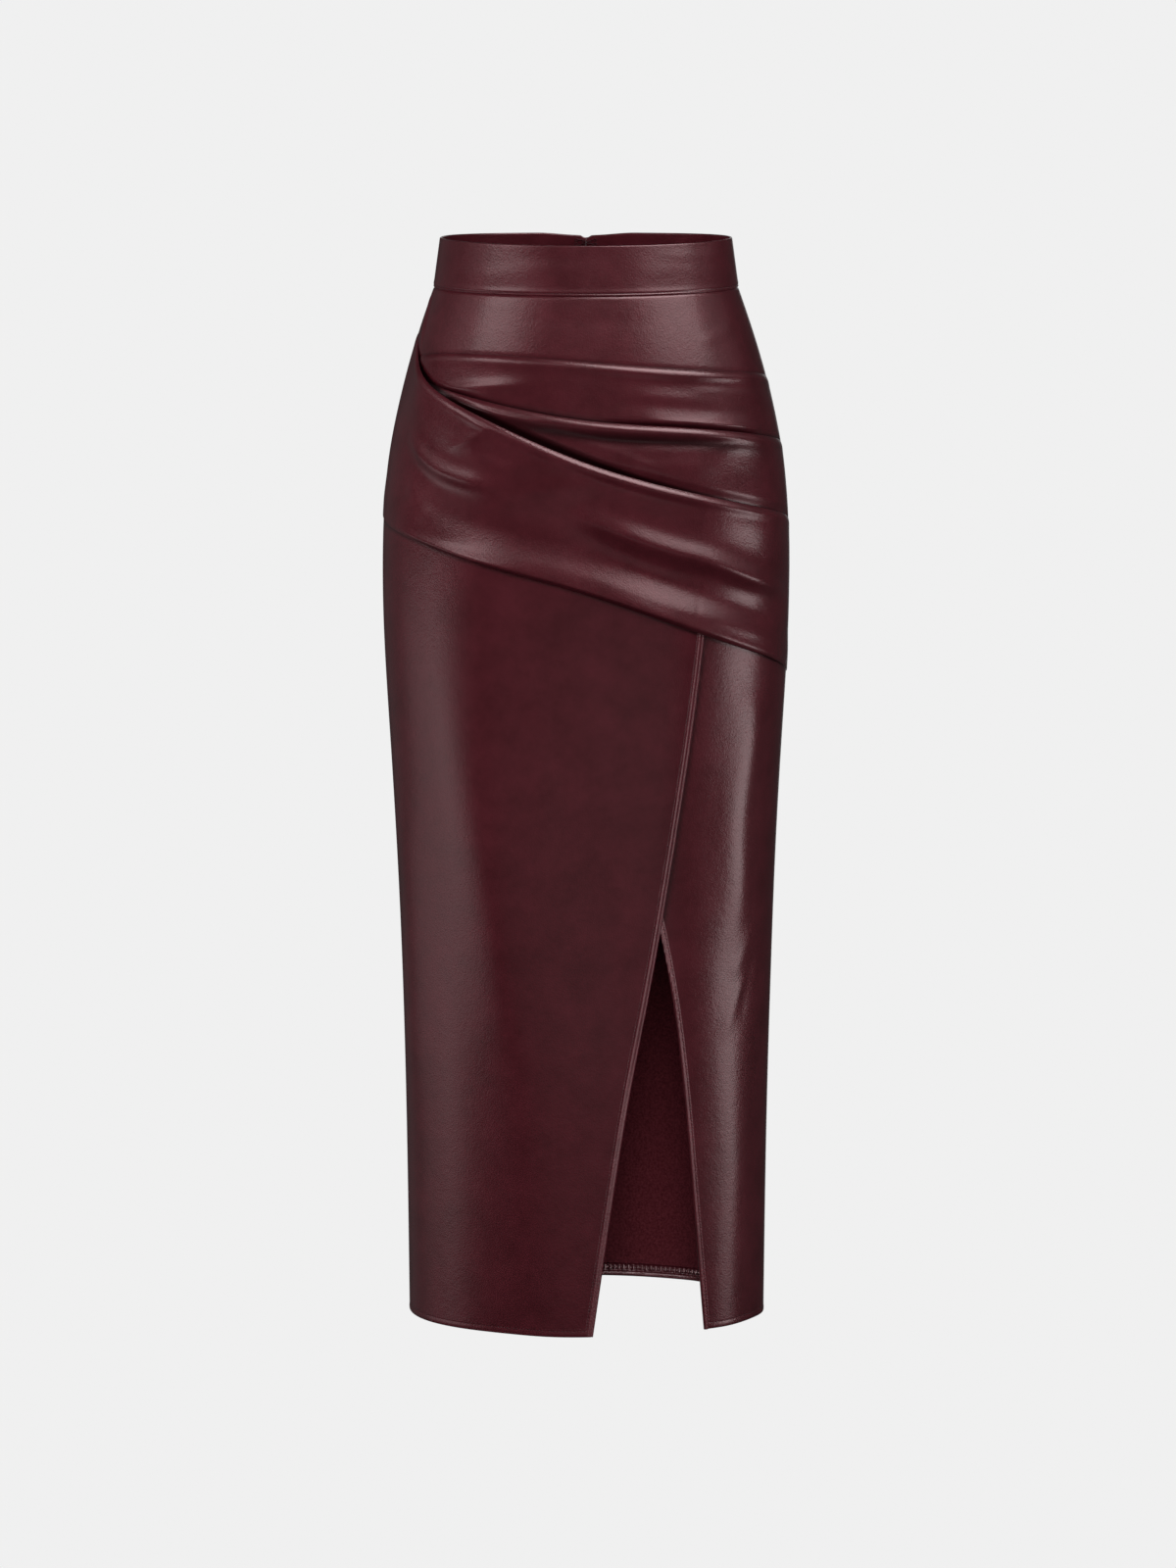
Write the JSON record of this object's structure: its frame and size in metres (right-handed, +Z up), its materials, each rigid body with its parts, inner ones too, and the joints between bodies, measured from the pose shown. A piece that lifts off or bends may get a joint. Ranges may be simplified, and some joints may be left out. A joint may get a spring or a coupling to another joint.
{
  "type": "leather skirt",
  "caption": "High-waisted long pencil skirt in smooth leather, with soft pleats and a draped hip sash over a wrapped front that opens in a slanting slit, and a zip behind.",
  "frame": {"origin": "centre of the waistband, halfway up it, where the wearer's waist holds the skirt", "axes": "+Z up the wearer, -Y to the front, +X to the wearer's left"},
  "size_m": [0.3523, 0.2484, 0.9396],
  "materials": {
    "leather": "smooth and semi-glossy, deep burgundy",
    "zip_tape": "fine woven tape",
    "nickel": "polished nickel plate"
  },
  "bodies": {
    "skirt": {"waistband_front": "leather", "waistband_back_left": "leather", "waistband_back_right": "leather", "front_yoke": "leather", "upper_pleat": "leather", "lower_pleat": "leather", "hip_sash": "leather", "wrap_panel": "leather", "under_panel": "leather", "back_left": "leather", "back_right": "leather", "zip_tape_left": "zip_tape", "zip_tape_right": "zip_tape", "zip_slider": "nickel", "hook": "nickel", "hook_eye": "nickel"},
    "pull_tab": {"zip_pull": "nickel"}
  },
  "joints": [
    {"name": "pull_tab_swing", "type": "hinge", "parent": "skirt", "child": "pull_tab", "pos_m": [0, 0.0971, 0.00437], "axis": [1, 0, 0], "range_deg": [0, 160]}
  ]
}
